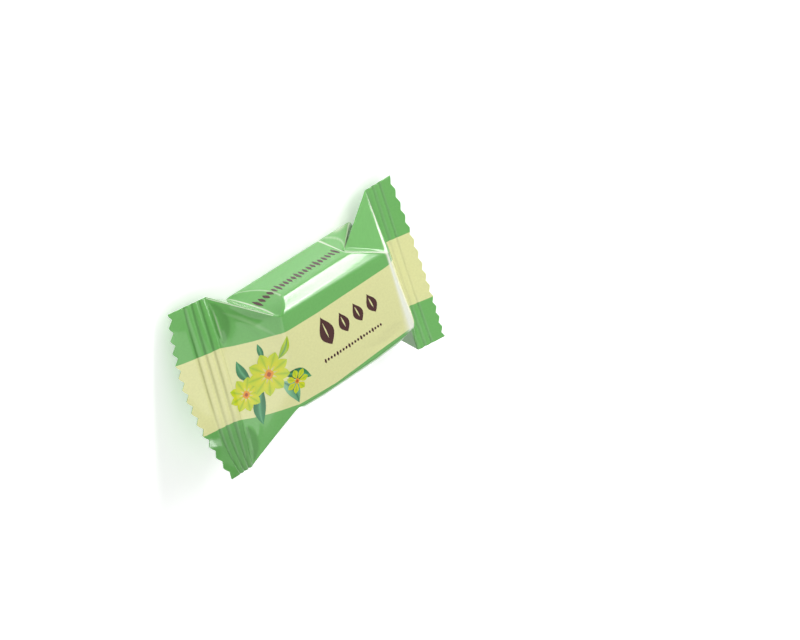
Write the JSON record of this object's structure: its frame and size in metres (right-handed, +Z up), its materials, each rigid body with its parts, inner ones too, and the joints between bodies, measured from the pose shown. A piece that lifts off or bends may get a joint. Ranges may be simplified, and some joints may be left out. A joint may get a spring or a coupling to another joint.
{
  "type": "wrapped nougat candy",
  "caption": "Small nougat bar sealed in green and cream printed film with a crimped, zigzag-cut band at each end.",
  "frame": {"origin": "middle of the footprint, on the surface the candy lies on", "axes": "+X along the candy towards the end with the long loose throat, +Z up out of the printed face, +Y across the film"},
  "size_m": [0.0648, 0.0384, 0.0148],
  "materials": {
    "film": "glossy printed film, green with a cream stripe along the top"
  },
  "bodies": {
    "root": {"wrapper": "film"}
  },
  "joints": []
}
